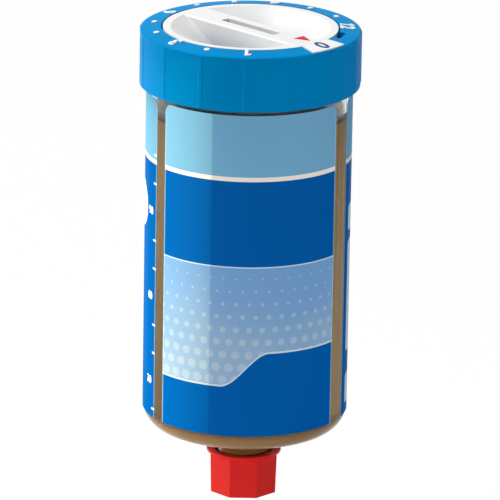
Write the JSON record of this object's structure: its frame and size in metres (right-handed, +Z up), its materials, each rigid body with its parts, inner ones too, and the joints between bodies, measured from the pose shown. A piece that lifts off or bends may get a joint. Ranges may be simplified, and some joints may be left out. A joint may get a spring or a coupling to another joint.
{
  "type": "automatic lubricator",
  "caption": "Single-point automatic lubricator: clear cartridge with a gas-driven piston, blue ring, turning time dial on top and a red closing cap on the threaded outlet.",
  "frame": {"origin": "centre of the closing cap's flat foot, on the lubricator's axis", "axes": "+Z up along the axis from the outlet to the dial; -Y is the front, the label panel that faces the picture's camera"},
  "size_m": [0.0538, 0.0537, 0.1181],
  "materials": {
    "cap_red": "moulded, smooth",
    "clear_shell": "clear, polished",
    "lubricant": "amber brown, wet",
    "label_print": "printed film, satin",
    "piston_plastic": "moulded, milky",
    "seal_rubber": "matt",
    "housing_plastic": "moulded",
    "board_laminate": "solder mask",
    "copper": "plated",
    "spring_metal": "sprung strip",
    "cell_steel": "bright",
    "nickel": "thin strip",
    "dial_white": "moulded, satin",
    "pointer_red": "printed",
    "spring_steel": "hard",
    "ring_blue": "moulded, satin",
    "flag_white": "moulded"
  },
  "bodies": {
    "body": {"container": "clear_shell", "lubricant_fill": "lubricant", "label_front": "label_print", "label_right": "label_print", "label_left": "label_print", "drive_housing": "housing_plastic", "drive_seal_ring": "seal_rubber", "circuit_board": "board_laminate", "contact_track": "copper", "battery_1": "cell_steel", "battery_2": "cell_steel", "gas_cell": "cell_steel", "link_strip": "nickel", "gas_cell_contact": "nickel", "contact_battery_1": "nickel", "contact_battery_2": "nickel", "contact_gas_cell": "nickel", "detent_spring": "spring_steel", "top_ring": "ring_blue", "zero_flag": "flag_white"},
    "dial": {"dial": "dial_white", "dial_pointer": "pointer_red", "dial_seal_ring": "seal_rubber", "switch_wiper": "spring_metal"},
    "piston": {"piston": "piston_plastic", "piston_seal": "seal_rubber"},
    "cap": {"closing_cap": "cap_red"}
  },
  "joints": [
    {"name": "dial_turn", "type": "hinge", "parent": "body", "child": "dial", "pos_m": [0, 0, 0.1178], "axis": [0, 0, 1], "range_deg": [-312, 0]},
    {"name": "piston_slide", "type": "slide", "parent": "body", "child": "piston", "axis": [0, 0, -1], "range_m": [0, 0.0752], "deforming": ["lubricant_fill"]},
    {"name": "cap_unscrew", "type": "slide", "parent": "body", "child": "cap", "axis": [0, 0, -1], "range_m": [0, 0.014]}
  ]
}
